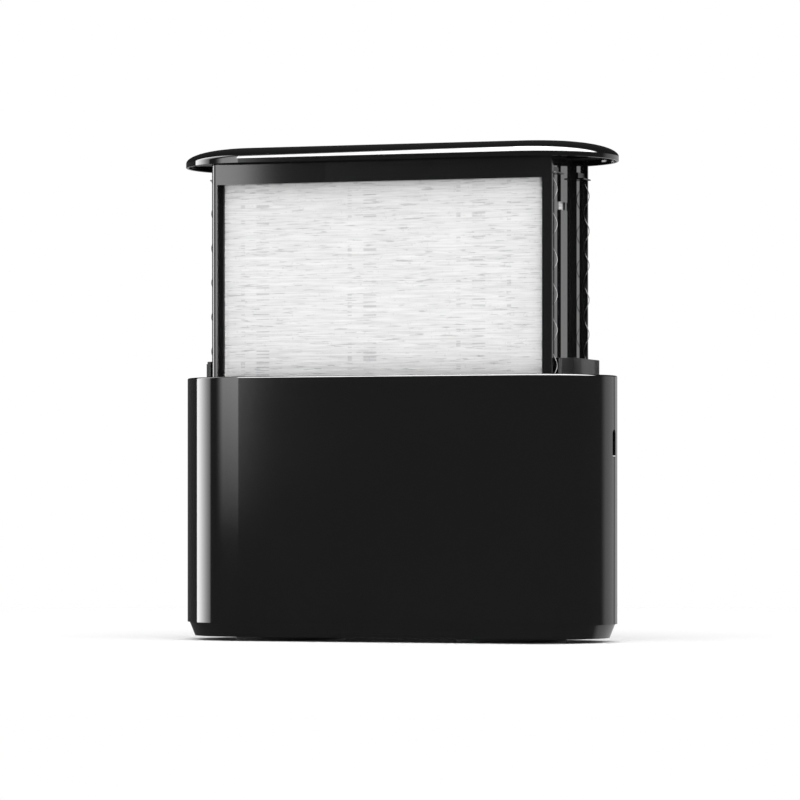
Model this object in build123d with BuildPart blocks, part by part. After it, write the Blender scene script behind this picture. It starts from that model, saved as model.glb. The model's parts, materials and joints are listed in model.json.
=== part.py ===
"""Counter paper towel dispenser, with its towel carriage raised for refilling.

The origin is the middle of the underside, where the rubber feet meet the table. +Z is up, X runs
along the width and the front looks along -Y. All sizes are in millimetres.
"""

import os
from math import cos, pi, sin, sqrt

from build123d import *

os.makedirs("parts", exist_ok=True)

# Housing shell: a tall stadium ring, open above and below
shell_width = 323.0
shell_depth = 116.0
shell_height = 178.0
shell_wall = 2.5
rim_round = 1.0

# Base tray and feet
foot_height = 3.0
foot_side_room = 18.0
foot_inset = 76.9
foot_chamfer = 0.5
foot_recess = 1.0
foot_gap = 0.15
tray_height = 10.0
tray_top_inset = 1.5
tray_bottom_inset = 5.5
tray_floor = 3.0
tray_rim_width = 1.7
lip_height = 4.0
lip_wall = 2.0
lip_gap = 0.3
lip_carriage_gap = 2.0

# Carriage, the square tower that lifts out of the housing
carriage_end_reach = 25.5
carriage_side_room = 8.0
carriage_corner = 6.0
carriage_floor_plate = 3.0
carriage_bottom = 163.0
carriage_top = 345.0
top_plate_thickness = 3.0
post_width = 6.0
post_depth = 7.0
window_top_rail = 14.9
window_bottom_rail = 7.0
rear_wall = 2.5
groove_spacing = 81.0
groove_width = 0.8
groove_depth = 0.5

# Relief of the side panels; the insets count inward from the corner posts
panel_web = 1.2
web_inset = 6.5
middle_rail_half = 8.0
middle_rail_rise = 1.6
recess_inset = 18.6
outer_rail_rise = 3.8
outer_rail_inset = 11.6
slot_inset = 4.4
panel_bridge = 3.0
slot_top_margin = 11.0

# Latch window in the middle rail, measured down from the top of the panels
notch_drop = 32.4
notch_height = 5.7

# Towels and pusher
towel_corner = 2.0
soft_gap = 0.3
pusher_gap = 0.4
pusher_plate_thickness = 1.5
crossbar_thickness = 1.5
arm_gap = 0.4
pusher_rim_width = 2.0
pusher_rim_inset = 12.0

# Lift springs and their hangers
spring_inset = 2.8
spring_coil_radius = 2.0
spring_wire_radius = 0.3
spring_turns = 6.5
hanger_thickness = 1.0
hanger_drop = 11.5
hanger_reach = 5.1
hanger_tab_height = 4.0
hanger_end_gap = 0.2

# Lid
lid_overhang = 1.1
lid_band = 3.3
lid_dome_height = 10.2
lid_flat_margin = 0.8
lid_wall = 1.8
throat_end_inset = 3.5
throat_width = 28.0
throat_corner = 4.0
bezel_wall = 4.0
bezel_round = 2.0
bezel_gap = 0.3
lid_boss_radius = 3.5
lid_boss_reach = 4.5
lid_boss_inset = 29.1

# End guides, which stand on the tray and steer the carriage
guide_plate = 2.5
guide_side_room = 10.0
guide_gap = 0.7
guide_rise_middle = 13.0
guide_rise_edge = 11.5
guide_rise_nose = 10.8
tongue_gap = 0.4
nose_radius = 10.5
nose_centre_out = 5.0
nose_wall = 2.5
flange_height = 3.0
flange_gap = 1.0
flange_reach = 11.5

# Lock
key_slot_width = 7.6
key_slot_height = 21.0
key_slot_drop = 49.1
pivot_inset = 3.5
pivot_z = 150.0
pin_radius = 1.5
pin_end_grip = 4.6
pin_running_gap = 0.05
lever_half_width = 7.5
lever_arm_half_width = 6.0
lever_boss_radius = 3.0
lever_thickness = 2.0
lever_back_offset = 1.5
lever_foot_z = 136.0
tooth_top_z = 165.7
tooth_height = 2.8
tooth_rail_gap = 0.5
key_arm_height = 3.0
key_pad_reach = 14.5
key_pad_top_z = 147.0
lever_window_half_width = 7.2
lever_window_top_z = 149.0
lever_window_bottom_z = 132.5
latch_spring_half_room = 2.9
latch_coil_radius = 2.3
latch_wire_radius = 0.25
latch_coil_turns = 4
latch_end_room = 0.6

# Screws
screw_gap = 0.1
base_screw_radius = 2.0
base_screw_reach = 39.5
base_screw_inset = 31.0
base_screw_length = 27.0
shell_boss_radius = 5.0
shell_boss_height = 28.0
tray_post_radius = 6.0
guide_screw_radius = 1.5
guide_screw_reach = 4.5
guide_screw_apart = 11.5
guide_screw_length = 13.0
guide_boss_radius = 4.0
guide_boss_height = 12.0
frame_screw_radius = 1.25
frame_screw_inset_x = 3.0
frame_screw_inset_y = 3.5
frame_screw_length = 14.0
lid_screw_radius = 1.4
lid_screw_length = 8.5
head_ratio = 2.0

# Heights and places that follow from the sizes above
tray_bottom_z = foot_height
tray_floor_top_z = tray_bottom_z + tray_floor
shell_bottom_z = tray_bottom_z + tray_height
rim_z = shell_bottom_z + shell_height
lip_top_z = shell_bottom_z + lip_height
boss_bottom_z = lip_top_z + lip_gap
shell_end_x = shell_width / 2
end_centre_x = shell_end_x - shell_depth / 2
foot_x = shell_end_x - foot_inset
foot_radius = shell_depth / 2 - foot_side_room
carriage_half = end_centre_x + carriage_end_reach
carriage_width = 2 * carriage_half
carriage_half_depth = shell_depth / 2 - carriage_side_room
carriage_depth = 2 * carriage_half_depth
post_inner_y = carriage_half_depth - post_depth
post_inner_x = carriage_half - post_width
recess_edge = post_inner_y - recess_inset
outer_rail_edge = post_inner_y - outer_rail_inset
slot_edge = post_inner_y - slot_inset
panel_bottom = carriage_bottom + carriage_floor_plate
web_x = carriage_half - web_inset
panel_inner_x = web_x - panel_web
rail_x = web_x + outer_rail_rise
crossbar_bottom = panel_bottom + panel_bridge + pusher_gap
crossbar_top = crossbar_bottom + crossbar_thickness
pusher_top = crossbar_top + pusher_plate_thickness
towel_width = 2 * (panel_inner_x - soft_gap)
towel_depth = 2 * (post_inner_y - soft_gap)
towel_bottom = pusher_top + soft_gap
towel_top = carriage_top - soft_gap
hanger_bottom = carriage_top - hanger_drop
arm_inner_y = outer_rail_edge + arm_gap
arm_outer_y = slot_edge - arm_gap
spring_x = carriage_half
spring_y = post_inner_y - spring_inset
guide_inner_x = spring_x + spring_coil_radius + spring_wire_radius + guide_gap
guide_outer_x = guide_inner_x + guide_plate
guide_half_width = carriage_half_depth - guide_side_room
nose_x = guide_outer_x + nose_centre_out
nose_tip_x = nose_x + nose_radius
key_slot_z = rim_z - key_slot_drop
notch_z = carriage_top - notch_drop
pivot_x = guide_inner_x - pivot_inset
lever_back = pivot_x + lever_back_offset
key_pad_x = pivot_x + key_pad_reach
tooth_tip_x = web_x + middle_rail_rise + tooth_rail_gap
top_plate_top = carriage_top + top_plate_thickness
lid_edge_z = carriage_top
lid_band_top = lid_edge_z + lid_band
lid_top = lid_band_top + lid_dome_height
lid_radius = shell_depth / 2 + lid_overhang
lid_flat_half = throat_width / 2 + bezel_wall + bezel_gap + lid_flat_margin
lid_dome_width = lid_radius - lid_flat_half
lid_boss_x = end_centre_x + lid_boss_reach
lid_boss_y = lid_radius - lid_boss_inset
throat_length = 2 * (end_centre_x - throat_end_inset)
tongue_inner_y = middle_rail_half + tongue_gap
tongue_outer_y = recess_edge - tongue_gap
base_screw_x = end_centre_x + base_screw_reach
base_screw_y = shell_depth / 2 - base_screw_inset
guide_screw_x = guide_outer_x + guide_screw_reach
guide_screw_y = base_screw_y - guide_screw_apart
flange_half_width = base_screw_y - tray_post_radius - flange_gap

ends = {"left": -1, "right": 1}
depths = {"front": -1, "rear": 1}
base_screw_spots = [(x * base_screw_x, y * base_screw_y) for x in (-1, 1) for y in (-1, 1)]
guide_screw_spots = [(x * guide_screw_x, y * guide_screw_y) for x in (-1, 1) for y in (-1, 1)]
corner_x = carriage_half - frame_screw_inset_x
corner_y = carriage_half_depth - frame_screw_inset_y
corner_spots = [(x * corner_x, y * corner_y) for x in (-1, 1) for y in (-1, 1)]
lid_screw_spots = [(x * lid_boss_x, y * lid_boss_y) for x in (-1, 1) for y in (-1, 1)]


def finish(builder, name):
    """Label a finished piece and write it under that name."""
    builder.part.label = name
    export_step(builder.part, f"parts/{name}.step")


def write_group(solids, name):
    """Write several separate solids of one kind as one piece group."""
    group = Compound(label=name, children=list(solids))
    export_step(group, f"parts/{name}.step")


def countersunk_screw(x, y, head_z, radius, length, upward):
    """One countersunk screw whose head is flush at head_z and whose shank runs up or down."""
    way = 1 if upward else -1
    head_radius = head_ratio * radius
    head_height = head_radius - radius
    with BuildPart() as screw:
        with BuildSketch(Plane(origin=(x, y, 0), x_dir=(1, 0, 0), z_dir=(0, -1, 0))):
            with BuildLine():
                Polyline(
                    (0, head_z),
                    (head_radius, head_z),
                    (radius, head_z + way * head_height),
                    (radius, head_z + way * length),
                    (0, head_z + way * length),
                    close=True,
                )
            make_face()
        revolve(axis=Axis((x, y, 0), (0, 0, 1)))
    return screw.part


def screw_group(spots, head_z, radius, length, upward, name):
    """Write one screw at each spot as a group."""
    screws = [countersunk_screw(x, y, head_z, radius, length, upward) for x, y in spots]
    write_group([solid for screw in screws for solid in screw.solids()], name)


def screw_hollow(spots, head_z, radius, length, upward):
    """Cut the countersunk holes that the screws of one group sit in, with their clearance."""
    for x, y in spots:
        hollow = countersunk_screw(x, y, head_z, radius + screw_gap, length + screw_gap, upward)
        add(hollow, mode=Mode.SUBTRACT)


def helix_points(radius, pitch, turns):
    """Points and unit directions of a coil at each quarter turn, about its own Z axis."""
    rise = pitch / (2 * pi)
    scale = sqrt(radius**2 + rise**2)
    points = []
    for quarter in range(int(4 * turns) + 1):
        angle = quarter * pi / 2
        point = Vector(radius * cos(angle), radius * sin(angle), rise * angle)
        way = Vector(-radius * sin(angle), radius * cos(angle), rise) / scale
        points.append((point, way))
    return points


def joined_arcs(stations):
    """Two tangent arcs between each pair of stations, each a point with its direction."""
    edges = []
    for (start, start_way), (end, end_way) in zip(stations, stations[1:]):
        step = end - start
        ways = start_way + end_way
        bend = 1 - start_way.dot(end_way)
        if bend < 1e-9:
            edges.append(Line(start, end, mode=Mode.PRIVATE))
            continue
        along = step.dot(ways)
        reach = (sqrt(along**2 + 2 * bend * step.dot(step)) - along) / (2 * bend)
        middle = (start + start_way * reach + end - end_way * reach) / 2
        first = TangentArc(start, middle, tangent=start_way, mode=Mode.PRIVATE)
        edges.append(first)
        edges.append(TangentArc(middle, end, tangent=first % 1, mode=Mode.PRIVATE))
    return edges


def least_gap(wire, wire_radius, pitch):
    """The least gap between neighbouring turns of one wire, measured on points."""
    count = 600
    points = [wire @ (i / count) for i in range(count + 1)]
    spread = wire.length / count
    apart = max(1, int(pitch * 0.6 / spread))
    gap = min(
        (points[i] - points[j]).length
        for i in range(0, count + 1)
        for j in range(i + apart, count + 1)
    )
    return gap - 2 * wire_radius


# Front and rear shells, the two halves of the stadium ring, with the screw bosses inside their ends
for depth_name, depth_way in depths.items():
    with BuildPart() as shell:
        with BuildSketch(Plane.XY.offset(shell_bottom_z)):
            SlotOverall(shell_width, shell_depth)
            SlotOverall(shell_width - 2 * shell_wall, shell_depth - 2 * shell_wall, mode=Mode.SUBTRACT)
        extrude(amount=shell_height)
        fillet(shell.faces().sort_by(Axis.Z)[-1].outer_wire().edges(), radius=rim_round)
        with BuildSketch(Plane.XY.offset(boss_bottom_z)):
            with Locations(*base_screw_spots):
                Circle(shell_boss_radius)
            for x, y in base_screw_spots:
                outward = Vector(x - (end_centre_x if x > 0 else -end_centre_x), y)
                web_length = shell_depth / 2 - shell_wall / 2 - outward.length
                web_middle = Vector(x, y) + outward.normalized() * web_length / 2
                web_turn = -outward.get_signed_angle(Vector(1, 0))
                with Locations(web_middle):
                    Rectangle(web_length, shell_boss_radius, rotation=web_turn)
        extrude(amount=shell_boss_height)
        screw_hollow(base_screw_spots, tray_bottom_z, base_screw_radius, base_screw_length, True)
        with BuildSketch(Plane.YZ.offset(end_centre_x)):
            with Locations((0, key_slot_z)):
                SlotOverall(key_slot_height, key_slot_width, rotation=90)
        extrude(amount=shell_depth, mode=Mode.SUBTRACT)
        split(bisect_by=Plane.XZ, keep=Keep.TOP if depth_way < 0 else Keep.BOTTOM)
    finish(shell, f"{depth_name}_shell")

# Base tray: a shallow pan with sloped outer sides, a locating lip and posts under the shell bosses
with BuildPart() as base_tray:
    with BuildSketch(Plane.XY.offset(tray_bottom_z)):
        SlotOverall(shell_width - 2 * tray_bottom_inset, shell_depth - 2 * tray_bottom_inset)
    with BuildSketch(Plane.XY.offset(shell_bottom_z)):
        SlotOverall(shell_width - 2 * tray_top_inset, shell_depth - 2 * tray_top_inset)
    loft()
    pan_inset = tray_bottom_inset + tray_rim_width
    with BuildSketch(Plane.XY.offset(tray_floor_top_z)):
        SlotOverall(shell_width - 2 * pan_inset, shell_depth - 2 * pan_inset)
    extrude(amount=tray_height, mode=Mode.SUBTRACT)
    lip_outset = shell_wall + lip_gap
    lip_inset = lip_outset + lip_wall
    with BuildSketch(Plane.XY.offset(shell_bottom_z)):
        SlotOverall(shell_width - 2 * lip_outset, shell_depth - 2 * lip_outset)
        SlotOverall(shell_width - 2 * lip_inset, shell_depth - 2 * lip_inset, mode=Mode.SUBTRACT)
        Rectangle(carriage_width + 2 * lip_carriage_gap, shell_depth, mode=Mode.SUBTRACT)
    extrude(amount=lip_height)
    with BuildSketch(Plane.XY.offset(tray_floor_top_z)):
        with Locations(*base_screw_spots):
            Circle(tray_post_radius)
    extrude(amount=boss_bottom_z - tray_floor_top_z)
    with BuildSketch(Plane.XY.offset(tray_bottom_z)):
        with Locations((-foot_x, 0), (foot_x, 0)):
            Circle(foot_radius + foot_gap)
    extrude(amount=foot_recess, mode=Mode.SUBTRACT)
    screw_hollow(base_screw_spots, tray_bottom_z, base_screw_radius, base_screw_length, True)
    screw_hollow(guide_screw_spots, tray_bottom_z, guide_screw_radius, guide_screw_length, True)
finish(base_tray, "base_tray")

# Rubber foot pads, each set into its round recess in the tray
for end_name, end_way in ends.items():
    with BuildPart() as foot_pad:
        with BuildSketch(Plane.XY):
            with Locations((end_way * foot_x, 0)):
                Circle(foot_radius)
        extrude(amount=foot_height + foot_recess)
        chamfer(foot_pad.faces().sort_by(Axis.Z)[0].edges(), length=foot_chamfer)
    finish(foot_pad, f"{end_name}_foot_pad")

screw_group(base_screw_spots, tray_bottom_z, base_screw_radius, base_screw_length, True, "base_screws")
screw_group(guide_screw_spots, tray_bottom_z, guide_screw_radius, guide_screw_length, True, "guide_screws")


def guide_outline():
    """Plan of one right-hand end guide: plate, two tongues and the hollow round nose."""
    core_radius = nose_radius - nose_wall
    with Locations((nose_x, 0)):
        Circle(nose_radius)
        Circle(core_radius, mode=Mode.SUBTRACT)
    with Locations((nose_x - nose_radius / 2, 0)):
        Rectangle(nose_radius, 2 * nose_radius, mode=Mode.SUBTRACT)
    with Locations(((guide_outer_x + nose_x) / 2, 0)):
        Rectangle(nose_x - guide_outer_x, 2 * nose_radius)
        Rectangle(nose_x - guide_outer_x, 2 * core_radius, mode=Mode.SUBTRACT)
    with Locations(((guide_inner_x + guide_outer_x) / 2, 0)):
        Rectangle(guide_plate, 2 * guide_half_width)
    tongue_tip_x = web_x + tongue_gap
    tongue_length = guide_inner_x - tongue_tip_x
    for side in (-1, 1):
        with Locations((tongue_tip_x + tongue_length / 2, side * (tongue_inner_y + tongue_outer_y) / 2)):
            Rectangle(tongue_length, tongue_outer_y - tongue_inner_y)


# End guides: they stand on the tray floor, reach into the side recesses and slope down outward on top
for end_name, end_way in ends.items():
    with BuildPart() as end_guide:
        with BuildSketch(Plane.XY.offset(tray_floor_top_z)):
            guide_outline()
        extrude(amount=rim_z + guide_rise_middle - tray_floor_top_z)
        with BuildSketch(Plane.XY.offset(tray_floor_top_z)):
            with Locations((guide_outer_x + (flange_reach - guide_plate) / 2, 0)):
                Rectangle(flange_reach - guide_plate, 2 * flange_half_width)
                Rectangle(flange_reach - guide_plate, 2 * nose_radius - nose_wall, mode=Mode.SUBTRACT)
        extrude(amount=flange_height)
        with BuildSketch(Plane.XY.offset(tray_floor_top_z)):
            with Locations(*[(guide_screw_x, y * guide_screw_y) for y in (-1, 1)]):
                Circle(guide_boss_radius)
        extrude(amount=guide_boss_height)
        slope_start = guide_inner_x
        with BuildSketch(Plane.XZ.offset(-shell_depth)):
            with BuildLine():
                Polyline(
                    (slope_start, rim_z + guide_rise_middle),
                    (nose_tip_x, rim_z + guide_rise_nose),
                    (nose_tip_x + nose_wall, rim_z + guide_rise_nose),
                    (nose_tip_x + nose_wall, rim_z + 2 * guide_rise_middle),
                    (slope_start, rim_z + 2 * guide_rise_middle),
                    close=True,
                )
            make_face()
        extrude(amount=2 * shell_depth, mode=Mode.SUBTRACT)
        with BuildSketch(Plane.YZ):
            for side in (-1, 1):
                with BuildLine():
                    Polyline(
                        (0, rim_z + guide_rise_middle),
                        (side * guide_half_width, rim_z + guide_rise_edge),
                        (side * guide_half_width, rim_z + 2 * guide_rise_middle),
                        (0, rim_z + 2 * guide_rise_middle),
                        close=True,
                    )
                make_face()
        extrude(amount=shell_width, mode=Mode.SUBTRACT)
        screw_hollow(guide_screw_spots, tray_bottom_z, guide_screw_radius, guide_screw_length, True)
        if end_way > 0:
            window_height = lever_window_top_z - lever_window_bottom_z
            with BuildSketch(Plane.YZ.offset(guide_inner_x)):
                with Locations((0, lever_window_bottom_z + window_height / 2)):
                    Rectangle(2 * lever_window_half_width, window_height)
            extrude(amount=guide_plate, mode=Mode.SUBTRACT)
            with BuildSketch(Plane.YZ.offset(nose_x)):
                with Locations((0, key_slot_z)):
                    SlotOverall(key_slot_height, key_slot_width, rotation=90)
            extrude(amount=2 * nose_radius, mode=Mode.SUBTRACT)
            pin_reach = tongue_inner_y + pin_end_grip
            with BuildSketch(Plane.XZ.offset(-pin_reach)):
                with Locations((pivot_x, pivot_z)):
                    Circle(pin_radius)
            extrude(amount=2 * pin_reach, mode=Mode.SUBTRACT)
        else:
            mirror(about=Plane.YZ, mode=Mode.REPLACE)
    finish(end_guide, f"{end_name}_end_guide")

# Latch pin, held at both ends in the tongues of the right guide
with BuildPart() as latch_pin:
    pin_reach = tongue_inner_y + pin_end_grip
    with BuildSketch(Plane.XZ.offset(-pin_reach)):
        with Locations((pivot_x, pivot_z)):
            Circle(pin_radius)
    extrude(amount=2 * pin_reach)
finish(latch_pin, "latch_pin")

# Latch lever: a tooth above the pin meets the carriage, and a pad below it meets the key
lever_front = lever_back - lever_thickness
with BuildPart() as latch_lever:
    with BuildSketch(Plane.XZ.offset(-lever_arm_half_width)):
        with BuildLine():
            Polyline(
                (lever_front, lever_foot_z),
                (key_pad_x, lever_foot_z),
                (key_pad_x, key_pad_top_z),
                (key_pad_x - lever_thickness, key_pad_top_z),
                (key_pad_x - lever_thickness, lever_foot_z + key_arm_height),
                (lever_back, lever_foot_z + key_arm_height),
                (lever_back, tooth_top_z),
                (tooth_tip_x, tooth_top_z),
                (tooth_tip_x, tooth_top_z - tooth_height),
                (lever_front, tooth_top_z - tooth_height),
                close=True,
            )
        make_face()
    extrude(amount=2 * lever_arm_half_width)
    with BuildSketch(Plane.XZ.offset(-lever_half_width)):
        with Locations((pivot_x, pivot_z)):
            Circle(lever_boss_radius)
    extrude(amount=2 * lever_half_width)
    with BuildSketch(Plane.XZ.offset(-latch_spring_half_room)):
        with Locations((pivot_x, pivot_z)):
            Rectangle(2 * lever_boss_radius, 2 * lever_boss_radius + 2)
    extrude(amount=2 * latch_spring_half_room, mode=Mode.SUBTRACT)
    with BuildSketch(Plane.XZ.offset(-lever_half_width)):
        with Locations((pivot_x, pivot_z)):
            Circle(pin_radius + pin_running_gap)
    extrude(amount=2 * lever_half_width, mode=Mode.SUBTRACT)
finish(latch_lever, "latch_lever")

# Latch spring: a short coil round the pin, between the two ears of the lever
latch_pitch = 2 * (latch_spring_half_room - latch_end_room) / latch_coil_turns
latch_stations = helix_points(latch_coil_radius, latch_pitch, latch_coil_turns)
latch_start_y = -latch_pitch * latch_coil_turns / 2
with BuildPart() as latch_spring:
    with BuildLine() as latch_path:
        for edge in joined_arcs(latch_stations):
            add(edge)
    latch_wire = latch_path.wire()
    with BuildSketch(Plane(origin=latch_wire @ 0, z_dir=latch_wire % 0)):
        Circle(latch_wire_radius)
    sweep(path=latch_wire)
coil_plane = Plane(origin=(pivot_x, latch_start_y, pivot_z), x_dir=(1, 0, 0), z_dir=(0, 1, 0))
latch_coil = coil_plane.location * latch_spring.part
latch_coil.label = "latch_spring"
export_step(latch_coil, "parts/latch_spring.step")
print("latch_spring least gap", round(least_gap(latch_wire, latch_wire_radius, latch_pitch * 6), 2))


def clamp_plate_outline():
    """Plan of the floor and top plates: narrow between the posts, full width at the corners."""
    RectangleRounded(carriage_width, carriage_depth, carriage_corner)
    for side in (-1, 1):
        with Locations((side * (web_x + web_inset / 2), 0)):
            Rectangle(web_inset, 2 * post_inner_y, mode=Mode.SUBTRACT)


# Carriage floor and top plate, which clamp the frame from below and above
with BuildPart() as carriage_floor:
    with BuildSketch(Plane.XY.offset(carriage_bottom)):
        clamp_plate_outline()
    extrude(amount=carriage_floor_plate)
    screw_hollow(corner_spots, carriage_bottom, frame_screw_radius, frame_screw_length, True)
finish(carriage_floor, "carriage_floor")

with BuildPart() as top_plate:
    with BuildSketch(Plane.XY.offset(carriage_top)):
        clamp_plate_outline()
        RectangleRounded(throat_length, throat_width, throat_corner, mode=Mode.SUBTRACT)
    extrude(amount=top_plate_thickness)
    screw_hollow(corner_spots, top_plate_top, frame_screw_radius, frame_screw_length, False)
    screw_hollow(lid_screw_spots, carriage_top, lid_screw_radius, lid_screw_length, True)
finish(top_plate, "top_plate")

screw_group(corner_spots, carriage_bottom, frame_screw_radius, frame_screw_length, True, "floor_screws")
screw_group(corner_spots, top_plate_top, frame_screw_radius, frame_screw_length, False, "top_plate_screws")
screw_group(lid_screw_spots, carriage_top, lid_screw_radius, lid_screw_length, True, "lid_screws")

# Front frame: two corner posts, a deep rail over the window and a narrow one under it
panel_height = carriage_top - panel_bottom
window_height = panel_height - window_top_rail - window_bottom_rail
with BuildPart() as front_frame:
    with BuildSketch(Plane.XY.offset(panel_bottom)):
        RectangleRounded(carriage_width, carriage_depth, carriage_corner)
        with Locations((0, carriage_half_depth - post_inner_y)):
            Rectangle(2 * carriage_width, carriage_depth, mode=Mode.SUBTRACT)
    extrude(amount=panel_height)
    with BuildSketch(Plane.XZ.offset(-carriage_depth)):
        with Locations((0, panel_bottom + window_bottom_rail + window_height / 2)):
            Rectangle(2 * post_inner_x, window_height)
    extrude(amount=2 * carriage_depth, mode=Mode.SUBTRACT)
    with BuildSketch(Plane.XY.offset(carriage_top - window_top_rail)):
        with Locations(*[(side * groove_spacing / 2, -carriage_half_depth) for side in (-1, 1)]):
            Rectangle(groove_width, 2 * groove_depth)
    extrude(amount=window_top_rail, mode=Mode.SUBTRACT)
    screw_hollow(corner_spots, carriage_bottom, frame_screw_radius, frame_screw_length, True)
    screw_hollow(corner_spots, top_plate_top, frame_screw_radius, frame_screw_length, False)
finish(front_frame, "front_frame")

# Rear panel: a plain wall between two posts like those in front
with BuildPart() as rear_panel:
    with BuildSketch(Plane.XY.offset(panel_bottom)):
        RectangleRounded(carriage_width, carriage_depth, carriage_corner)
        with Locations((0, post_inner_y - carriage_half_depth)):
            Rectangle(2 * carriage_width, carriage_depth, mode=Mode.SUBTRACT)
        with Locations((0, 0)):
            Rectangle(2 * post_inner_x, carriage_depth - 2 * rear_wall, mode=Mode.SUBTRACT)
    extrude(amount=panel_height)
    screw_hollow(corner_spots, carriage_bottom, frame_screw_radius, frame_screw_length, True)
    screw_hollow(corner_spots, top_plate_top, frame_screw_radius, frame_screw_length, False)
finish(rear_panel, "rear_panel")

# Side panels: a thin web with five raised rails, and a long slot on each side for the pusher arms
for end_name, end_way in ends.items():
    with BuildPart() as side_panel:
        with BuildSketch(Plane.XY.offset(panel_bottom)):
            with Locations((panel_inner_x + panel_web / 2, 0)):
                Rectangle(panel_web, 2 * post_inner_y)
            with Locations((web_x + middle_rail_rise / 2, 0)):
                Rectangle(middle_rail_rise, 2 * middle_rail_half)
            for side in (-1, 1):
                rail_middle = (recess_edge + post_inner_y) / 2
                with Locations((web_x + outer_rail_rise / 2, side * rail_middle)):
                    Rectangle(outer_rail_rise, post_inner_y - recess_edge)
        extrude(amount=panel_height)
        slot_height = carriage_top - slot_top_margin - panel_bottom - panel_bridge
        with BuildSketch(Plane.YZ.offset(panel_inner_x)):
            for side in (-1, 1):
                slot_middle_z = panel_bottom + panel_bridge + slot_height / 2
                with Locations((side * (outer_rail_edge + slot_edge) / 2, slot_middle_z)):
                    Rectangle(slot_edge - outer_rail_edge, slot_height)
        extrude(amount=2 * outer_rail_rise, mode=Mode.SUBTRACT)
        with BuildSketch(Plane.YZ.offset(panel_inner_x)):
            with Locations((0, notch_z)):
                Rectangle(2 * middle_rail_half, notch_height)
        extrude(amount=2 * outer_rail_rise, mode=Mode.SUBTRACT)
        if end_way < 0:
            mirror(about=Plane.YZ, mode=Mode.REPLACE)
    finish(side_panel, f"{end_name}_side_panel")

# Spring hangers: four bent steel ledges on the outer rails, near the top
for end_name, end_way in ends.items():
    for depth_name, depth_way in depths.items():
        ledge_inner_y = recess_edge + hanger_end_gap
        ledge_outer_y = post_inner_y - hanger_end_gap
        ledge_middle_y = (ledge_inner_y + ledge_outer_y) / 2
        with BuildPart() as hanger:
            with BuildSketch(Plane.XY.offset(hanger_bottom)):
                with Locations((end_way * (rail_x + hanger_reach / 2), depth_way * ledge_middle_y)):
                    Rectangle(hanger_reach, ledge_outer_y - ledge_inner_y)
            extrude(amount=hanger_thickness)
            with BuildSketch(Plane.XY.offset(hanger_bottom + hanger_thickness)):
                with Locations((end_way * (rail_x + hanger_thickness / 2), depth_way * ledge_middle_y)):
                    Rectangle(hanger_thickness, ledge_outer_y - ledge_inner_y)
            extrude(amount=hanger_tab_height)
        finish(hanger, f"{end_name}_{depth_name}_spring_hanger")

# Lift springs: stretched coils from the pusher arms up to the hangers
spring_length = hanger_bottom - crossbar_top
straight = 2 * spring_wire_radius
coil_length = spring_length - 2 * straight
spring_pitch = coil_length / spring_turns
up = Vector(0, 0, 1)
coil_stations = helix_points(spring_coil_radius, spring_pitch, spring_turns)
coil_stations[0] = (coil_stations[0][0], up)
coil_stations[-1] = (coil_stations[-1][0], up)
lift = Vector(0, 0, straight)
with BuildPart() as coil:
    with BuildLine() as coil_path:
        Line(coil_stations[0][0], coil_stations[0][0] + lift)
        for edge in joined_arcs([(point + lift, way) for point, way in coil_stations]):
            add(edge)
        Line(coil_stations[-1][0] + lift, coil_stations[-1][0] + lift * 2)
    coil_wire = coil_path.wire()
    with BuildSketch(Plane(origin=coil_stations[0][0], z_dir=(0, 0, 1))):
        Circle(spring_wire_radius)
    sweep(path=coil_wire)
print("lift spring least gap", round(least_gap(coil_wire, spring_wire_radius, spring_pitch), 2))
for end_name, end_way in ends.items():
    for depth_name, depth_way in depths.items():
        placed = Pos(end_way * spring_x, depth_way * spring_y, crossbar_top) * coil.part
        placed.label = f"{end_name}_{depth_name}_lift_spring"
        export_step(placed, f"parts/{placed.label}.step")

# Towel stack: one plain block that fills the carriage
with BuildPart() as towel_stack:
    with BuildSketch(Plane.XY.offset(towel_bottom)):
        RectangleRounded(towel_width, towel_depth, towel_corner)
    extrude(amount=towel_top - towel_bottom)
finish(towel_stack, "towel_stack")

# Pusher plate under the towels, with a stiffening rim below it
with BuildPart() as pusher_plate:
    plate_width = 2 * panel_inner_x - 2 * arm_gap
    plate_depth = 2 * post_inner_y - 2 * arm_gap
    with BuildSketch(Plane.XY.offset(crossbar_top)):
        Rectangle(plate_width, plate_depth)
    extrude(amount=pusher_plate_thickness)
    rim_outer_y = 2 * (arm_inner_y - arm_gap)
    rim_outer_x = plate_width - 2 * pusher_rim_inset
    rim_bottom = panel_bottom + soft_gap
    with BuildSketch(Plane.XY.offset(rim_bottom)):
        Rectangle(rim_outer_x, rim_outer_y)
        Rectangle(
            rim_outer_x - 2 * pusher_rim_width,
            rim_outer_y - 2 * pusher_rim_width,
            mode=Mode.SUBTRACT,
        )
    extrude(amount=crossbar_top - rim_bottom)
finish(pusher_plate, "pusher_plate")

# Pusher crossbars: their ends pass through the side slots and hold the springs' lower ends
shoe_reach_x = spring_x + spring_coil_radius + spring_wire_radius
shoe_inner_x = rail_x + arm_gap
shoe_outer_y = spring_y + spring_coil_radius + spring_wire_radius
for depth_name, depth_way in depths.items():
    with BuildPart() as crossbar:
        with BuildSketch(Plane.XY.offset(crossbar_bottom)):
            with Locations((0, depth_way * (arm_inner_y + arm_outer_y) / 2)):
                Rectangle(2 * shoe_reach_x, arm_outer_y - arm_inner_y)
            for end_way in ends.values():
                with Locations(
                    (
                        end_way * (shoe_inner_x + shoe_reach_x) / 2,
                        depth_way * (arm_inner_y + shoe_outer_y) / 2,
                    )
                ):
                    Rectangle(shoe_reach_x - shoe_inner_x, shoe_outer_y - arm_inner_y)
        extrude(amount=crossbar_thickness)
    finish(crossbar, f"{depth_name}_pusher_crossbar")


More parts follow.
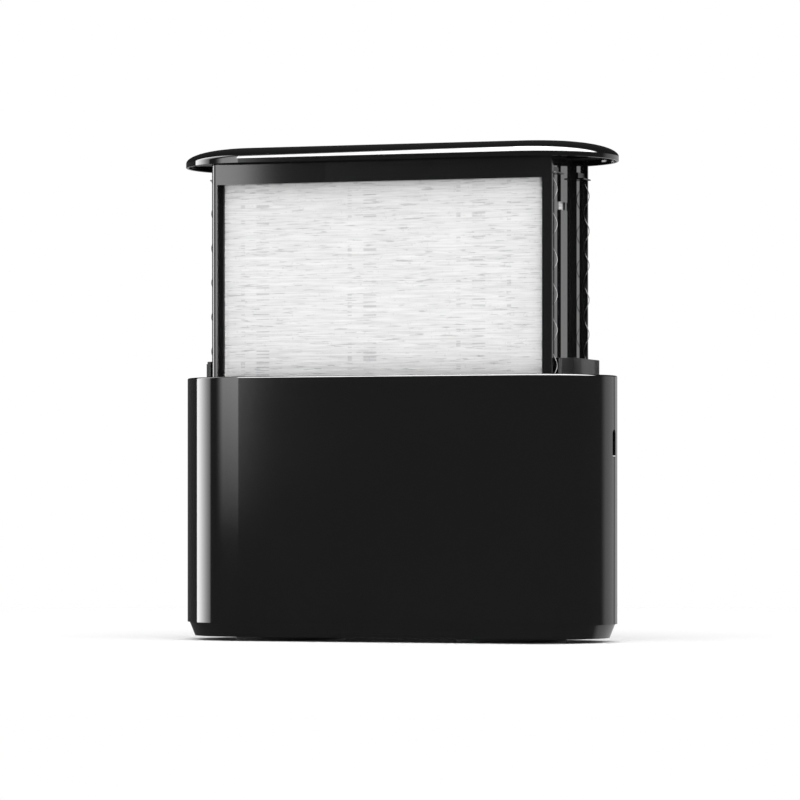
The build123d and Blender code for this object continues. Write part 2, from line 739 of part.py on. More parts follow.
def dome(edge_radius, top_z, dome_width):
    """A stadium dome with an upright band: two round ends and a straight middle."""
    with BuildPart() as solid:
        with BuildSketch(Plane.XZ) as section:
            with BuildLine():
                Polyline(
                    (0, top_z),
                    (0, lid_edge_z),
                    (edge_radius, lid_edge_z),
                    (edge_radius, lid_band_top),
                )
                EllipticalCenterArc(
                    (edge_radius - dome_width, lid_band_top),
                    dome_width,
                    top_z - lid_band_top,
                    start_angle=0,
                    arc_size=90,
                )
                Line((edge_radius - dome_width, top_z), (0, top_z))
            make_face()
        revolve(axis=Axis.Z)
    round_end = solid.part
    with BuildPart() as whole:
        for end_way in ends.values():
            add(Pos(end_way * end_centre_x, 0, 0) * round_end)
        for turn in (90, -90):
            half = section.sketch.rotate(Axis.Z, turn)
            extrude(Pos(-end_centre_x, 0, 0) * half, amount=2 * end_centre_x, dir=(1, 0, 0))
    return whole.part


# Lid: a low hollow dome over the carriage, wider than the housing, open below
lid_outer = dome(lid_radius, lid_top, lid_dome_width)
lid_inner = dome(lid_radius - lid_wall, lid_top - lid_wall, lid_dome_width - lid_wall)
with BuildPart() as lid_cover:
    add(lid_outer)
    add(lid_inner, mode=Mode.SUBTRACT)
    with BuildSketch(Plane.XY.offset(top_plate_top)):
        with Locations(*lid_screw_spots):
            Circle(lid_boss_radius)
    extrude(amount=lid_top - lid_wall - top_plate_top)
    with BuildSketch(Plane.XY.offset(carriage_top)):
        bezel_room = 2 * (bezel_wall + bezel_gap)
        opening_corner = throat_corner + bezel_room / 2
        RectangleRounded(throat_length + bezel_room, throat_width + bezel_room, opening_corner)
    extrude(amount=2 * lid_dome_height, mode=Mode.SUBTRACT)
    screw_hollow(lid_screw_spots, carriage_top, lid_screw_radius, lid_screw_length, True)
finish(lid_cover, "lid_cover")

# Throat bezel: the smooth funnel that the towels are pulled through
with BuildPart() as throat_bezel:
    with BuildSketch(Plane.XY.offset(top_plate_top)):
        RectangleRounded(
            throat_length + 2 * bezel_wall,
            throat_width + 2 * bezel_wall,
            throat_corner + bezel_wall,
        )
        RectangleRounded(throat_length, throat_width, throat_corner, mode=Mode.SUBTRACT)
    extrude(amount=lid_top - top_plate_top)
    fillet(throat_bezel.faces().sort_by(Axis.Z)[-1].inner_wires()[0].edges(), radius=bezel_round)
finish(throat_bezel, "throat_bezel")
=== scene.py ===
"""Finishes, soft forms and studio of a counter towel dispenser with its carriage raised.

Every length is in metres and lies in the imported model's own frame: +Z up, the window towards -Y.
"""

import json
import logging
import math
from dataclasses import dataclass, field
from enum import Enum
from random import Random
from typing import Any, Iterable, Union

import bmesh
import bpy
from mathutils import Matrix, Vector


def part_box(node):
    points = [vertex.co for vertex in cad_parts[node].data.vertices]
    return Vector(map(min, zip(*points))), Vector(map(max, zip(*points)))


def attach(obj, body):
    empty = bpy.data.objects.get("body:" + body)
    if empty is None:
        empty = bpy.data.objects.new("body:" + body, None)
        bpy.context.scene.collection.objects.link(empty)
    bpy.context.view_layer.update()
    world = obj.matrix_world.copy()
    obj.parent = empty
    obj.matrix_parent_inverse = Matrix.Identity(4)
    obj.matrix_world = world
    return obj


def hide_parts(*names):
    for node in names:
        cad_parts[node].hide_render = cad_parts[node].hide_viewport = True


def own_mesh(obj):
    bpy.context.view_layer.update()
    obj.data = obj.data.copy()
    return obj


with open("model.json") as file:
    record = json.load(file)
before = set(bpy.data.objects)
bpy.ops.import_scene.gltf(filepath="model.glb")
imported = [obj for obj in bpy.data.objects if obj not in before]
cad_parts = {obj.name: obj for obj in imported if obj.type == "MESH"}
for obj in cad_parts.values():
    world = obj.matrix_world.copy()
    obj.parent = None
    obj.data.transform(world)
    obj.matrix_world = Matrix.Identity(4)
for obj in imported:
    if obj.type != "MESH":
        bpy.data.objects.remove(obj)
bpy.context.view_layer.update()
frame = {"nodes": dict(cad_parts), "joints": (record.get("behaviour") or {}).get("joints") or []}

MM = 0.001
NOISE_MIDDLE = 0.5
LOG = logging.getLogger("dispenser")

Number = Union[int, float]
Pair = tuple[float, float]
Triple = tuple[float, float, float]
Colour = Union[tuple[float, ...], bpy.types.NodeSocket]


class Channel:
    """One output of a node, with arithmetic written as Python operators."""

    def __init__(self, shader: "Shader", socket: bpy.types.NodeSocket) -> None:
        """Wrap a socket.

        Args:
            shader: the node builder that owns the socket.
            socket: the output to wrap.
        """
        self.shader = shader
        self.socket = socket

    def _math(self, operation: str, *values: "Channel | Number") -> "Channel":
        """Return the result of one Math node on the given values."""
        node = self.shader.node("ShaderNodeMath", {"operation": operation}, dict(enumerate(values)))
        return Channel(self.shader, node.outputs[0])

    def __add__(self, other: "Channel | Number") -> "Channel":
        """Return self + other."""
        return self._math("ADD", self, other)

    __radd__ = __add__

    def __sub__(self, other: "Channel | Number") -> "Channel":
        """Return self - other."""
        return self._math("SUBTRACT", self, other)

    def __rsub__(self, other: "Channel | Number") -> "Channel":
        """Return other - self."""
        return self._math("SUBTRACT", other, self)

    def __mul__(self, other: "Channel | Number") -> "Channel":
        """Return self * other."""
        return self._math("MULTIPLY", self, other)

    __rmul__ = __mul__

    def __abs__(self) -> "Channel":
        """Return the absolute value."""
        return self._math("ABSOLUTE", self)

    def arctan2(self, other: "Channel") -> "Channel":
        """Return the angle of the point (other, self), in radians."""
        return self._math("ARCTAN2", self, other)

    def arcsine(self) -> "Channel":
        """Return the arcsine, in radians."""
        return self._math("ARCSINE", self)

    def wrap(self, low: Number, high: Number) -> "Channel":
        """Return the value wrapped into the range from low to high."""
        return self._math("WRAP", self, high, low)

    def most(self, other: "Channel | Number") -> "Channel":
        """Return the larger of the two."""
        return self._math("MAXIMUM", self, other)

    def least(self, other: "Channel | Number") -> "Channel":
        """Return the smaller of the two."""
        return self._math("MINIMUM", self, other)

    def step(self, low: Number, high: Number, start: Number = 0.0, end: Number = 1.0) -> "Channel":
        """Return a smooth step.

        Args:
            low: where the step begins.
            high: where the step ends.
            start: the value before the step.
            end: the value after the step.

        Returns:
            The stepped value.
        """
        settings = {"interpolation_type": "SMOOTHSTEP"}
        inputs = {0: self, 1: low, 2: high, 3: start, 4: end}
        return Channel(self.shader, self.shader.node("ShaderNodeMapRange", settings, inputs).outputs[0])


class Shader:
    """Builds the nodes of one material or world."""

    def __init__(self, tree: bpy.types.NodeTree) -> None:
        """Start from an empty tree.

        Args:
            tree: the node tree to fill.
        """
        self.tree = tree
        tree.nodes.clear()

    def node(self, kind: str, settings: dict[str, Any], inputs: dict[Any, Any]) -> bpy.types.Node:
        """Make one node.

        Args:
            kind: the node's type name.
            settings: the node's own properties, set before its sockets.
            inputs: values or channels by socket name or index.

        Returns:
            The new node.
        """
        node = self.tree.nodes.new(kind)
        for key, value in settings.items():
            setattr(node, key, value)
        for key, value in inputs.items():
            target = node.inputs[key]
            if isinstance(value, Channel):
                self.tree.links.new(value.socket, target)
            elif isinstance(value, bpy.types.NodeSocket):
                self.tree.links.new(value, target)
            else:
                target.default_value = value
        return node

    def surface(self, kind: str, inputs: dict[Any, Any]) -> bpy.types.NodeSocket:
        """Return the output of one surface or background node."""
        return self.node(kind, {}, inputs).outputs[0]

    def mixed(
        self, amount: Any, first: bpy.types.NodeSocket, second: bpy.types.NodeSocket
    ) -> bpy.types.NodeSocket:
        """Return the first surface at amount 0 and the second at amount 1."""
        return self.surface("ShaderNodeMixShader", {0: amount, 1: first, 2: second})

    def show(self, surface: bpy.types.NodeSocket, output: str = "ShaderNodeOutputMaterial") -> None:
        """Send a surface to the tree's output."""
        self.node(output, {}, {"Surface": surface})

    def object_point(self) -> bpy.types.NodeSocket:
        """Return the object coordinates."""
        return self.node("ShaderNodeTexCoord", {}, {}).outputs["Object"]

    def scaled(self, point: bpy.types.NodeSocket, scale: Triple) -> bpy.types.NodeSocket:
        """Return a point stretched along each axis."""
        return self.node("ShaderNodeMapping", {}, {"Vector": point, "Scale": scale}).outputs[0]

    def axes(self, point: bpy.types.NodeSocket) -> tuple[Channel, Channel, Channel]:
        """Return the three parts of a vector."""
        outputs = self.node("ShaderNodeSeparateXYZ", {}, {0: point}).outputs
        return Channel(self, outputs[0]), Channel(self, outputs[1]), Channel(self, outputs[2])

    def noise(self, point: bpy.types.NodeSocket, scale: float, detail: float) -> Channel:
        """Return a noise value between 0 and 1."""
        inputs = {"Vector": point, "Scale": scale, "Detail": detail}
        return Channel(self, self.node("ShaderNodeTexNoise", {}, inputs).outputs[0])

    def blend(
        self, amount: Channel, low: Colour, high: Colour, kind: str = "MIX"
    ) -> bpy.types.NodeSocket:
        """Return a colour between low and high, or low multiplied by high."""
        settings = {"data_type": "RGBA", "blend_type": kind, "clamp_factor": True}
        return self.node("ShaderNodeMix", settings, {0: amount, 6: low, 7: high}).outputs[2]

    def bump(self, height: Channel, strength: float, distance: float) -> bpy.types.NodeSocket:
        """Return the normal of a fine relief."""
        inputs = {"Height": height, "Strength": strength, "Distance": distance}
        return self.node("ShaderNodeBump", {}, inputs).outputs[0]


@dataclass(frozen=True)
class Streaks:
    """A noise stretched into streaks or dashes."""

    stretch: Triple
    scale: float
    detail: float

    def on(self, shader: Shader, point: bpy.types.NodeSocket) -> Channel:
        """Return the noise at a point."""
        return shader.noise(shader.scaled(point, self.stretch), self.scale, self.detail)


@dataclass(frozen=True)
class Fade:
    """A smooth change of level between two places."""

    begin: float
    finish: float
    before: float = 0.0
    after: float = 1.0

    def at(self, place: Channel) -> Channel:
        """Return the level at a place."""
        return place.step(self.begin, self.finish, self.before, self.after)


@dataclass(frozen=True)
class Span:
    """A range of angles in degrees, with a soft edge of its own half width at each end."""

    low: float
    high: float
    soft_low: float
    soft_high: float

    def at(self, angle: Channel) -> Channel:
        """Return 1 inside the range and 0 outside."""
        risen = angle.step(self.low - self.soft_low, self.low + self.soft_low)
        return risen * (1.0 - angle.step(self.high - self.soft_high, self.high + self.soft_high))


def new_material(name: str) -> tuple[bpy.types.Material, Shader]:
    """Make an empty material.

    Args:
        name: the material's name.

    Returns:
        The material and its node builder.
    """
    material = bpy.data.materials.new(name)
    material.use_nodes = True
    return material, Shader(material.node_tree)


def grey(level: float) -> tuple[float, float, float, float]:
    """Return an opaque neutral colour."""
    return (level, level, level, 1.0)


@dataclass(frozen=True)
class MouldedFinish:
    """Moulded plastic or rubber, with a faint uneven gloss and a fine surface grain, and optionally a
    line of painted shade along a seam.
    """

    name: str
    colour: Triple
    roughness: float
    roughness_swing: float
    grain_scale: float
    grain_height: float
    grain_strength: float = 0.35
    grain_detail: float = 2.0
    cloud_scale: float = 14.0
    cloud_detail: float = 3.0
    cloud_lift: float = 1.25
    dust: float = 0.0
    specular: float = 0.5
    refraction: float = 1.5
    # Paints shade along the seam: a dull line without gloss where the two shells meet.
    seam_shade_line: bool = False
    seam_shade_half_width: float = 0.9 * MM
    seam_shade_softness: float = 0.2

    def build(self) -> bpy.types.Material:
        """Make the material.

        Returns:
            The finished material, with a dull line painted where two shells meet, as painted shade of
            the seam, if it has one.
        """
        material, shader = new_material(self.name)
        point = shader.object_point()
        cloud = shader.noise(point, self.cloud_scale, self.cloud_detail)
        grain = shader.noise(point, self.grain_scale, self.grain_detail)
        low = (*self.colour, 1.0)
        high = (*[part * self.cloud_lift + self.dust for part in self.colour], 1.0)
        cloudy = (cloud - NOISE_MIDDLE) * self.roughness_swing
        grainy = (grain - NOISE_MIDDLE) * self.roughness_swing
        whole = shader.surface(
            "ShaderNodeBsdfPrincipled",
            {
                "Base Color": shader.blend(cloud, low, high),
                "Roughness": self.roughness + cloudy + grainy,
                "Normal": shader.bump(grain, self.grain_strength, self.grain_height),
                "IOR": self.refraction,
                "Specular IOR Level": self.specular,
            },
        )
        # Painted shade: where the two shells meet, a dull diffuse line without gloss stands in for the
        # shade in the seam between them.
        if self.seam_shade_line:
            _, deep, _ = shader.axes(point)
            outer = self.seam_shade_half_width * (1.0 + self.seam_shade_softness)
            inner = self.seam_shade_half_width * (1.0 - self.seam_shade_softness)
            painted_seam_shade = shader.surface("ShaderNodeBsdfDiffuse", {"Color": low})
            whole = shader.mixed(abs(deep).step(outer, inner), whole, painted_seam_shade)
        shader.show(whole)
        return material


@dataclass(frozen=True)
class SteelFinish:
    """Drawn or plated steel with fine scratches."""

    name: str
    colour: float
    roughness: float
    scratches: Streaks = Streaks((1.0, 1.0, 0.1), 900.0, 3.0)
    dark_share: float = 0.8
    scratch_roughness: float = 0.12
    scratch_strength: float = 0.2
    scratch_height: float = 0.02 * MM

    def build(self) -> bpy.types.Material:
        """Make the material.

        Returns:
            The finished material.
        """
        material, shader = new_material(self.name)
        scratch = self.scratches.on(shader, shader.object_point())
        shaded = grey(self.colour * self.dark_share)
        steel = shader.surface(
            "ShaderNodeBsdfPrincipled",
            {
                "Base Color": shader.blend(scratch, shaded, grey(self.colour)),
                "Roughness": self.roughness + scratch * self.scratch_roughness,
                "Metallic": 1.0,
                "Normal": shader.bump(scratch, self.scratch_strength, self.scratch_height),
            },
        )
        shader.show(steel)
        return material


@dataclass(frozen=True)
class PaperFinish:
    """The cut edges of folded towels: fine flat streaks, short grey dashes and embossed bands."""

    name: str
    dash_columns: tuple[float, ...] = (-90.7 * MM, -8.7 * MM, 73.4 * MM)
    column_half_width: float = 5.6 * MM
    dot_columns: tuple[float, ...] = (-106.0 * MM, -24.0 * MM, 58.2 * MM, 96.0 * MM)
    dot_half_width: float = 1.8 * MM
    band_core: float = 0.75
    broad_streaks: Streaks = Streaks((1.0, 1.0, 34.0), 26.0, 3.0)
    fine_streaks: Streaks = Streaks((1.0, 1.0, 16.0), 60.0, 2.0)
    broad_share: float = 0.55
    fine_share: float = 0.45
    tone_edge: Pair = (0.30, 0.70)
    shaded: float = 0.73
    pale: float = 0.91
    loose_dashes: Streaks = Streaks((1.0, 0.2, 15.0), 75.0, 1.0)
    loose_edge: Pair = (0.64, 0.70)
    row_streaks: Streaks = Streaks((0.12, 0.1, 9.0), 80.0, 1.0)
    dash_edge: Pair = (0.585, 0.66)
    dot_edge: Pair = (0.57, 0.64)
    dot_share: float = 0.8
    fleck_scale: float = 480.0
    fleck_edge: Pair = (0.68, 0.74)
    dash_depth: float = 0.50
    fleck_depth: float = 0.20
    dash_colour: tuple[float, ...] = (0.50, 0.50, 0.53, 1.0)
    roughness: float = 0.92
    specular: float = 0.2
    relief_strength: float = 0.6
    relief_height: float = 0.25 * MM
    dash_relief: float = 0.6

    def _bands(self, across: Channel, places: tuple[float, ...], half_width: float) -> Channel:
        """Return a mask of upright bands.

        Args:
            across: the place along the towels' width.
            places: the middle of each band.
            half_width: half the width of a band.

        Returns:
            1 inside the bands and 0 outside.
        """
        core = half_width * self.band_core
        mask = abs(across - places[0]).step(half_width, core)
        for place in places[1:]:
            mask = mask.most(abs(across - place).step(half_width, core))
        return mask

    def build(self) -> bpy.types.Material:
        """Make the material.

        Returns:
            The finished material.
        """
        material, shader = new_material(self.name)
        point = shader.object_point()
        across, _, _ = shader.axes(point)
        broad = self.broad_streaks.on(shader, point)
        fine = self.fine_streaks.on(shader, point)
        loose = self.loose_dashes.on(shader, point).step(*self.loose_edge)
        rows = self.row_streaks.on(shader, point)
        dash_bands = self._bands(across, self.dash_columns, self.column_half_width)
        dot_bands = self._bands(across, self.dot_columns, self.dot_half_width)
        dashed = rows.step(*self.dash_edge) * dash_bands
        dotted = rows.step(*self.dot_edge) * dot_bands
        dash = loose.most(dashed).most(dotted * self.dot_share)
        fleck = shader.noise(point, self.fleck_scale, 1.0).step(*self.fleck_edge)
        tone = broad * self.broad_share + fine * self.fine_share
        light = shader.blend(tone.step(*self.tone_edge), grey(self.shaded), grey(self.pale))
        darkened = dash * self.dash_depth + fleck * self.fleck_depth
        relief = tone - dash * self.dash_relief
        paper = shader.surface(
            "ShaderNodeBsdfPrincipled",
            {
                "Base Color": shader.blend(darkened, light, self.dash_colour, "MULTIPLY"),
                "Roughness": self.roughness,
                "Specular IOR Level": self.specular,
                "Normal": shader.bump(relief, self.relief_strength, self.relief_height),
            },
        )
        shader.show(paper)
        return material


class Finish(Enum):
    """The finishes that the pieces are dressed in."""

    # The shells' finish paints shade along the seam where the two shells meet.
    SHELL = MouldedFinish(
        "polished_shell_black", (0.0062, 0.0062, 0.0066), 0.045, 0.02, 240.0, 0.003 * MM, seam_shade_line=True
    )
    LID = MouldedFinish("polished_lid_black", (0.0058, 0.0058, 0.0062), 0.04, 0.02, 240.0, 0.003 * MM)
    FRAME = MouldedFinish("carriage_black", (0.0075, 0.0075, 0.0079), 0.06, 0.02, 700.0, 0.004 * MM)
    GUIDE = MouldedFinish(
        "guide_black", (0.0060, 0.0060, 0.0063), 0.40, 0.08, 900.0, 0.012 * MM, specular=0.16
    )
    TRAY = MouldedFinish("tray_black", (0.0070, 0.0070, 0.0074), 0.10, 0.04, 500.0, 0.008 * MM)
    LEVER = MouldedFinish("lever_dark_grey", (0.030, 0.030, 0.032), 0.32, 0.08, 800.0, 0.012 * MM)
    RUBBER = MouldedFinish(
        "foot_rubber", (0.016, 0.016, 0.016), 0.82, 0.10, 1400.0, 0.04 * MM, dust=0.004
    )
    STEEL = SteelFinish("spring_steel", 0.045, 0.26)
    SCREW = SteelFinish("blackened_screw", 0.05, 0.32)
    PAPER = PaperFinish("folded_towel_paper")


class Wardrobe:
    """Makes each finish once and dresses pieces in it."""

    def __init__(self) -> None:
        """Start with no finish made."""
        self._made: dict[Finish, bpy.types.Material] = {}

    def material(self, finish: Finish) -> bpy.types.Material:
        """Find or make the material of a finish.

        Args:
            finish: the finish that is wanted.

        Returns:
            Its material, made on first use.
        """
        if finish not in self._made:
            self._made[finish] = finish.value.build()
        return self._made[finish]

    def dress(self, piece: bpy.types.Object, finish: Finish) -> None:
        """Give a piece one finish all over."""
        piece.data.materials.clear()
        piece.data.materials.append(self.material(finish))


def publish(
    name: str, mesh: bpy.types.Mesh, body: str, replaced: Iterable[str]
) -> bpy.types.Object:
    """Add a finished mesh to the scene as a piece.

    Args:
        name: the piece's name.
        mesh: its mesh, in place.
        body: the body that it rides on.
        replaced: the CAD nodes that it stands for.

    Returns:
        The new object.
    """
    piece = bpy.data.objects.new(name, mesh)
    bpy.context.scene.collection.objects.link(piece)
    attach(piece, body)
    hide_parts(*replaced)
    LOG.info("%s: %d faces", name, len(mesh.polygons))
    return piece


def mesh_from(bm: bmesh.types.BMesh, name: str) -> bpy.types.Mesh:
    """Turn a finished bmesh into a mesh and free it.

    Args:
        bm: the modelled shape.
        name: the mesh's name.

    Returns:
        The new mesh.
    """
    mesh = bpy.data.meshes.new(name)
    bm.to_mesh(mesh)
    bm.free()
    return mesh


def smooth(mesh: bpy.types.Mesh, sharp_angle: float) -> None:
    """Shade a mesh smooth, apart from edges sharper than an angle in degrees."""
    mesh.polygons.foreach_set("use_smooth", [True] * len(mesh.polygons))
    mesh.set_sharp_from_angle(angle=math.radians(sharp_angle))


def weigh_normals(piece: bpy.types.Object) -> None:
    """Let the large flat faces of a piece keep their own normals.

    Args:
        piece: the piece, with its sharp edges marked.
    """
    modifier = piece.modifiers.new("weighted_normals", "WEIGHTED_NORMAL")
    modifier.keep_sharp = True
    modifier.weight = 100


def joint_travel(name: str) -> float:
    """Return how far a sliding joint goes up from rest, in metres."""
    joint = next(joint for joint in frame["joints"] if joint["name"] == name)
    return joint["range_m"][1]


@dataclass
class SmoothedSolids:
    """CAD nodes whose round faces need a smooth surface: merged copies stand for them."""

    wardrobe: Wardrobe
    sharp_angle: float = 32.0
    merge_distance: float = 0.002 * MM
    flat_angle: float = 0.2
    pieces: dict[str, tuple[str, str, Finish]] = field(
        default_factory=lambda: {
            "front_shell": ("housing", "shell_gloss_black", Finish.SHELL),
            "rear_shell": ("housing", "shell_gloss_black", Finish.SHELL),
            "base_tray": ("housing", "tray_black", Finish.TRAY),
            "left_foot_pad": ("housing", "foot_rubber", Finish.RUBBER),
            "right_foot_pad": ("housing", "foot_rubber", Finish.RUBBER),
            "left_end_guide": ("housing", "guide_black", Finish.GUIDE),
            "right_end_guide": ("housing", "guide_black", Finish.GUIDE),
            "front_frame": ("carriage", "frame_satin_black", Finish.FRAME),
            "rear_panel": ("carriage", "frame_satin_black", Finish.FRAME),
            "throat_bezel": ("carriage", "frame_satin_black", Finish.FRAME),
        }
    )

    def build(self) -> None:
        """Make each merged copy and hide its CAD node."""
        for node, (body, slot, finish) in self.pieces.items():
            mesh = frame["nodes"][node].data.copy()
            self._merge(mesh)
            smooth(mesh, self.sharp_angle)
            piece = publish(f"{node}_surface", mesh, body, [node])
            weigh_normals(piece)
            self.wardrobe.dress(piece, finish)

    def _merge(self, mesh: bpy.types.Mesh) -> None:
        """Join the loose triangles of a mesh at their corners, and into whole flat faces.

        Args:
            mesh: the copy of a CAD node's mesh.
        """
        bm = bmesh.new()
        bm.from_mesh(mesh)
        bmesh.ops.remove_doubles(bm, verts=bm.verts, dist=self.merge_distance)
        flat = math.radians(self.flat_angle)
        bmesh.ops.dissolve_limit(bm, angle_limit=flat, verts=bm.verts, edges=bm.edges)
        bm.to_mesh(mesh)
        bm.free()


@dataclass
class PlainSolids:
    """CAD nodes whose shapes are right as they are, and only take a finish."""

    wardrobe: Wardrobe
    finishes: dict[Finish, tuple[str, ...]] = field(
        default_factory=lambda: {
            Finish.FRAME: (
                "top_plate",
                "left_side_panel",
                "right_side_panel",
                "carriage_floor",
                "pusher_plate",
            ),
            Finish.LEVER: ("latch_lever",),
            Finish.SCREW: (
                "base_screws",
                "guide_screws",
                "floor_screws",
                "top_plate_screws",
                "lid_screws",
                "latch_pin",
            ),
            Finish.STEEL: (
                "latch_spring",
                "front_pusher_crossbar",
                "rear_pusher_crossbar",
                "left_front_spring_hanger",
                "left_rear_spring_hanger",
                "right_front_spring_hanger",
                "right_rear_spring_hanger",
            ),
        }
    )

    def build(self) -> None:
        """Dress each node in its finish."""
        for finish, nodes in self.finishes.items():
            for node in nodes:
                self.wardrobe.dress(frame["nodes"][node], finish)
                LOG.info("%s dressed as %s", node, finish.name.lower())


@dataclass
class LidCover:
    """The hollow domed lid, with its upright band, thin wall and dispensing opening."""

    wardrobe: Wardrobe
    band: float = 3.3 * MM
    dome_width: float = 40.0 * MM
    wall: float = 1.8 * MM
    edge_round: float = 0.3 * MM
    bezel_gap: float = 0.3 * MM
    opening_corner: float = 8.3 * MM
    opening_segments: int = 32
    turn_steps: int = 64
    rise_steps: int = 30
    sharp_angle: float = 40.0
    join_distance: float = 0.01 * MM

    def _arc(self, radius: float, base_z: float, top_z: float, width: float) -> list[Pair]:
        """Draw the dome's section at even turns of its normal.

        Args:
            radius: how far the edge lies from the lid's middle line.
            base_z: the height of the edge.
            top_z: the height of the flat top.
            width: how far the dome reaches inwards from the edge.

        Returns:
            Points of reach and height, from the edge to the flat top.
        """
        height = top_z - base_z
        points = []
        for count in range(self.rise_steps + 1):
            lean = 0.5 * math.pi * count / self.rise_steps
            upright = count == self.rise_steps
            turn = 0.5 * math.pi if upright else math.atan(math.tan(lean) * height / width)
            points.append((radius - width + width * math.cos(turn), base_z + height * math.sin(turn)))
        return points

    def _section(self, radius: float, low_z: float, top_z: float) -> list[Pair]:
        """Draw the wall's section.

        Args:
            radius: how far the edge lies from the lid's middle line.
            low_z: the height of the lower edge.
            top_z: the height of the flat top.

        Returns:
            Points of reach and height, from the flat top over the edge to the inner flat top.
        """
        band_z = low_z + self.band
        inner = radius - self.wall
        outer_arc = self._arc(radius, band_z, top_z, self.dome_width)
        inner_arc = self._arc(inner, band_z, top_z - self.wall, self.dome_width - self.wall)
        rounded = self.edge_round
        edge = [
            (radius, low_z + rounded),
            (radius - rounded, low_z),
            (inner + rounded, low_z),
            (inner, low_z + rounded),
        ]
        return list(reversed(outer_arc)) + edge + inner_arc

    def _opening(
        self, bm: bmesh.types.BMesh, half_x: float, half_y: float, z: float
    ) -> list[bmesh.types.BMEdge]:
        """Draw a rectangle with round corners.

        Args:
            bm: the lid so far.
            half_x: half its width.
            half_y: half its depth.
            z: its height.

        Returns:
            Its edges.
        """
        corner = self.opening_corner
        segments = self.opening_segments
        made = bmesh.ops.create_circle(bm, cap_ends=False, radius=corner, segments=segments)
        turn = Matrix.Rotation(math.pi / segments, 3, "Z")
        bmesh.ops.rotate(bm, verts=made["verts"], matrix=turn)
        for vert in made["verts"]:
            vert.co.x += math.copysign(half_x - corner, vert.co.x)
            vert.co.y += math.copysign(half_y - corner, vert.co.y)
            vert.co.z = z
        return list({edge for vert in made["verts"] for edge in vert.link_edges})

    def _sweep(self, bm: bmesh.types.BMesh, low: Vector, high: Vector) -> None:
        """Spin the section round each end and pull it along each side.

        Args:
            bm: the empty lid.
            low: the lowest corner of the lid's box.
            high: the highest corner of the lid's box.
        """
        radius = high.y
        centre_x = high.x - radius
        section = self._section(radius, low.z, high.z)
        verts = [bm.verts.new((centre_x, -reach, z)) for reach, z in section]
        geometry: list[Any] = [*verts, *(bm.edges.new(pair) for pair in zip(verts, verts[1:]))]
        for end_x in (centre_x, -centre_x):
            spun = bmesh.ops.spin(
                bm,
                geom=geometry,
                cent=(end_x, 0.0, 0.0),
                axis=(0.0, 0.0, 1.0),
                angle=math.pi,
                steps=self.turn_steps,
                use_merge=False,
                use_duplicate=False,
            )
            edges = [part for part in spun["geom_last"] if isinstance(part, bmesh.types.BMEdge)]
            pulled = bmesh.ops.extrude_edge_only(bm, edges=edges)["geom"]
            moved = [part for part in pulled if isinstance(part, bmesh.types.BMVert)]
            bmesh.ops.translate(bm, verts=moved, vec=(-2 * end_x, 0.0, 0.0))
            geometry = [part for part in pulled if not isinstance(part, bmesh.types.BMFace)]
        bmesh.ops.remove_doubles(bm, verts=bm.verts, dist=self.join_distance)

    def _close_top(self, bm: bmesh.types.BMesh, top_z: float) -> None:
        """Fill both flat tops round the dispensing opening, and line the opening.

        Args:
            bm: the lid with its flat tops open.
            top_z: the height of the outer flat top.
        """
        _, bezel_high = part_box("throat_bezel")
        half_x = bezel_high.x + self.bezel_gap
        half_y = bezel_high.y + self.bezel_gap
        near = self.join_distance
        loops = []
        for z in (top_z, top_z - self.wall):
            open_edges = [edge for edge in bm.edges if edge.is_boundary]
            rim = [edge for edge in open_edges if all(abs(v.co.z - z) < near for v in edge.verts)]
            hole = self._opening(bm, half_x, half_y, z)
            bmesh.ops.triangle_fill(bm, use_beauty=True, use_dissolve=False, edges=rim + hole)
            loops.append(hole)
        bmesh.ops.bridge_loops(bm, edges=loops[0] + loops[1])

    def build(self) -> None:
        """Model the lid and hide its CAD node."""
        low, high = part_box("lid_cover")
        bm = bmesh.new()
        self._sweep(bm, low, high)
        self._close_top(bm, high.z)
        bmesh.ops.recalc_face_normals(bm, faces=bm.faces)
        mesh = mesh_from(bm, "lid_cover_surface")
        smooth(mesh, self.sharp_angle)
        piece = publish("lid_cover_surface", mesh, "carriage", ["lid_cover"])
        weigh_normals(piece)
        self.wardrobe.dress(piece, Finish.LID)


